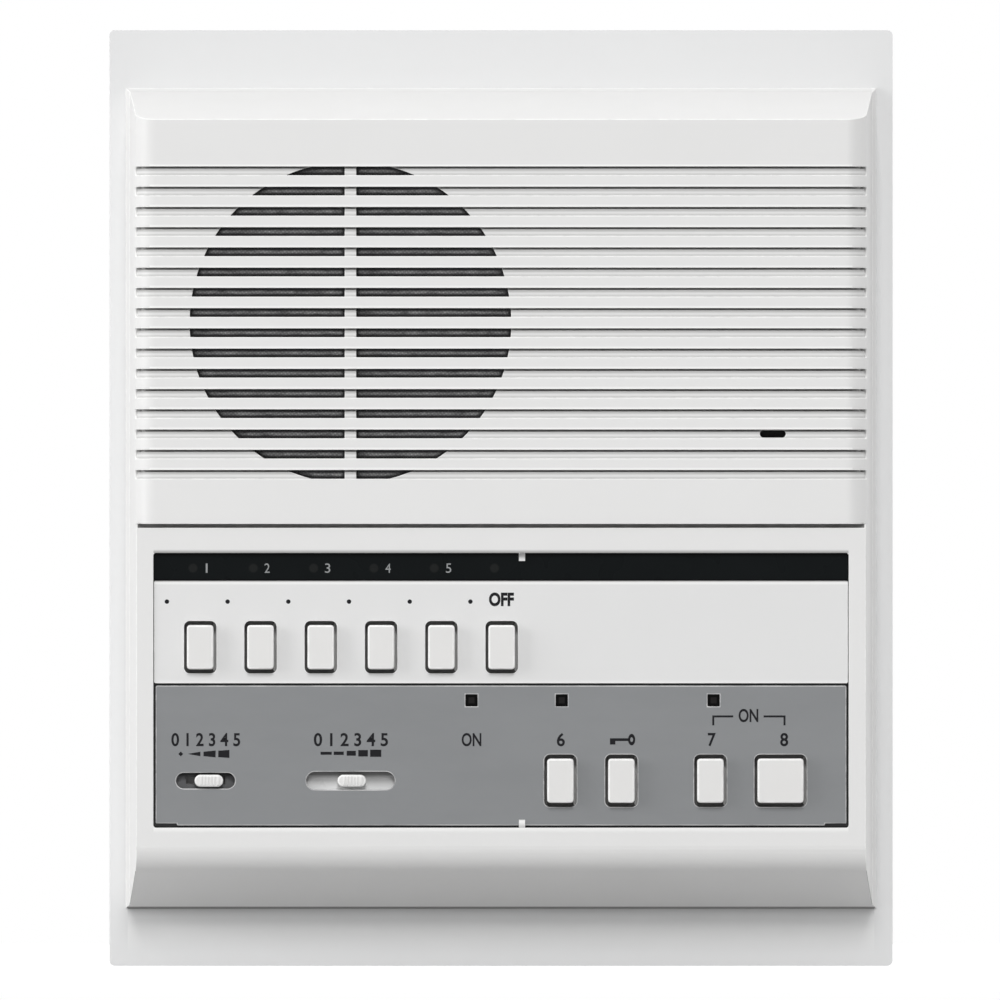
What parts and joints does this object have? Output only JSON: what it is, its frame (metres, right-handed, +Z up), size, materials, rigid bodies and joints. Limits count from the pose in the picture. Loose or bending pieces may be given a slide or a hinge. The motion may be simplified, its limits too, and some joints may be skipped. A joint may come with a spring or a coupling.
{
  "type": "wall intercom master station",
  "caption": "Semi-flush intercom master station: flange plate, sloped louvred case, round speaker, station keys, talk key, volume sliders and rear terminal strip.",
  "frame": {"origin": "centre of the four mounting holes, in the back face of the mounting plate", "axes": "+Z up the wall, +Y into the wall, +X to the user's right; the face looks along -Y"},
  "size_m": [0.1758, 0.0467, 0.21],
  "materials": {
    "white_case": "light-grain moulded ABS, off-white",
    "white_key": "smooth satin ABS, off-white",
    "painted_plate": "powder-coated steel sheet, pale grey-white",
    "smoked_strip": "smoked acrylic strip",
    "white_sheet": "white printed plate",
    "grey_sheet": "mid-grey satin plate with printed marks",
    "dark_plastic": "black moulded plastic",
    "switch_plastic": "dark grey moulded switch body",
    "stem_plastic": "ivory nylon stem",
    "lamp_red": "tinted lamp body",
    "lens_smoke": "dark tinted light guide",
    "board_sheet": "paper-phenolic circuit board",
    "chip_plastic": "black moulded package",
    "can_sleeve": "dark blue shrink sleeve",
    "iron_core": "laminated iron core and bobbin",
    "speaker_fabric": "dark open-weave speaker cloth",
    "foam_ring": "foam gasket",
    "pressed_steel": "zinc-plated steel",
    "cone_paper": "black pulp paper",
    "ferrite": "ferrite ring magnet",
    "lead_sleeve": "PVC lead insulation",
    "boot_rubber": "soft rubber boot",
    "capsule_metal": "aluminium capsule can",
    "terminal_plastic": "black phenolic block",
    "screw_steel": "nickel-plated steel",
    "cover_plastic": "dark grey moulded ABS"
  },
  "bodies": {
    "chassis": {"mounting_plate": "painted_plate", "front_case": "white_case", "indicator_window": "smoked_strip", "directory_plate": "white_sheet", "legend_plate": "grey_sheet", "panel_carrier": "dark_plastic", "selector_switch_bank": "switch_plastic", "function_switches": "switch_plastic", "slider_bodies": "switch_plastic", "music_slot_liner": "dark_plastic", "indicator_lamps": "lamp_red", "lamp_holder": "dark_plastic", "indicator_lenses": "lens_smoke", "main_board": "board_sheet", "board_chips": "chip_plastic", "board_capacitors": "can_sleeve", "audio_transformer": "iron_core", "speaker_cloth": "speaker_fabric", "speaker_gasket": "foam_ring", "speaker_basket": "pressed_steel", "speaker_surround": "foam_ring", "speaker_cone": "cone_paper", "speaker_dust_cap": "cone_paper", "speaker_magnet": "ferrite", "speaker_yoke": "pressed_steel", "speaker_clamps": "pressed_steel", "speaker_leads": "lead_sleeve", "microphone_boot": "boot_rubber", "microphone_capsule": "capsule_metal", "rear_cover": "cover_plastic", "terminal_block": "terminal_plastic", "terminal_screws": "screw_steel", "tapping_screws": "screw_steel", "rear_cover_screws": "screw_steel"},
    "selector_key_1": {"selector_button_1": "white_key", "selector_plunger_1": "stem_plastic"},
    "selector_key_2": {"selector_button_2": "white_key", "selector_plunger_2": "stem_plastic"},
    "selector_key_3": {"selector_button_3": "white_key", "selector_plunger_3": "stem_plastic"},
    "selector_key_4": {"selector_button_4": "white_key", "selector_plunger_4": "stem_plastic"},
    "selector_key_5": {"selector_button_5": "white_key", "selector_plunger_5": "stem_plastic"},
    "off_key": {"off_button": "white_key", "off_plunger": "stem_plastic"},
    "all_call_key": {"all_call_button": "white_key", "all_call_plunger": "stem_plastic"},
    "door_release_key": {"door_release_button": "white_key", "door_release_plunger": "stem_plastic"},
    "privacy_key": {"privacy_button": "white_key", "privacy_plunger": "stem_plastic"},
    "talk_key": {"talk_button": "white_key", "talk_plunger": "stem_plastic"},
    "latch": {"latch_bar": "pressed_steel"},
    "music_slider": {"music_slider_knob": "white_key", "music_slider_lever": "pressed_steel"},
    "voice_slider": {"voice_slider_knob": "white_key", "voice_slider_lever": "pressed_steel", "voice_slider_shutter": "white_key"}
  },
  "joints": [
    {"name": "selector_key_1_press", "type": "slide", "parent": "chassis", "child": "selector_key_1", "axis": [0, 1, 0], "range_m": [0, 0.0022], "stiffness_N_per_m": 400},
    {"name": "selector_key_2_press", "type": "slide", "parent": "chassis", "child": "selector_key_2", "axis": [0, 1, 0], "range_m": [0, 0.0022], "stiffness_N_per_m": 400},
    {"name": "selector_key_3_press", "type": "slide", "parent": "chassis", "child": "selector_key_3", "axis": [0, 1, 0], "range_m": [0, 0.0022], "stiffness_N_per_m": 400},
    {"name": "selector_key_4_press", "type": "slide", "parent": "chassis", "child": "selector_key_4", "axis": [0, 1, 0], "range_m": [0, 0.0022], "stiffness_N_per_m": 400},
    {"name": "selector_key_5_press", "type": "slide", "parent": "chassis", "child": "selector_key_5", "axis": [0, 1, 0], "range_m": [0, 0.0022], "stiffness_N_per_m": 400},
    {"name": "off_key_press", "type": "slide", "parent": "chassis", "child": "off_key", "axis": [0, 1, 0], "range_m": [0, 0.0022], "stiffness_N_per_m": 400},
    {"name": "all_call_key_press", "type": "slide", "parent": "chassis", "child": "all_call_key", "axis": [0, 1, 0], "range_m": [0, 0.0022], "stiffness_N_per_m": 400},
    {"name": "door_release_key_press", "type": "slide", "parent": "chassis", "child": "door_release_key", "axis": [0, 1, 0], "range_m": [0, 0.0022], "stiffness_N_per_m": 400},
    {"name": "privacy_key_press", "type": "slide", "parent": "chassis", "child": "privacy_key", "axis": [0, 1, 0], "range_m": [0, 0.0022], "stiffness_N_per_m": 400},
    {"name": "talk_key_press", "type": "slide", "parent": "chassis", "child": "talk_key", "axis": [0, 1, 0], "range_m": [0, 0.0022], "stiffness_N_per_m": 400},
    {"name": "latch_slide", "type": "slide", "parent": "chassis", "child": "latch", "axis": [1, 0, 0], "range_m": [0, 0.0011]},
    {"name": "music_volume", "type": "slide", "parent": "chassis", "child": "music_slider", "axis": [1, 0, 0], "range_m": [-0.00385, 0.00235]},
    {"name": "voice_volume", "type": "slide", "parent": "chassis", "child": "voice_slider", "axis": [1, 0, 0], "range_m": [-0.0067, 0.0061]}
  ],
  "couplings": [
    {"joint": "latch_slide", "follows": "off_key_press", "ratio": 0.5}
  ]
}
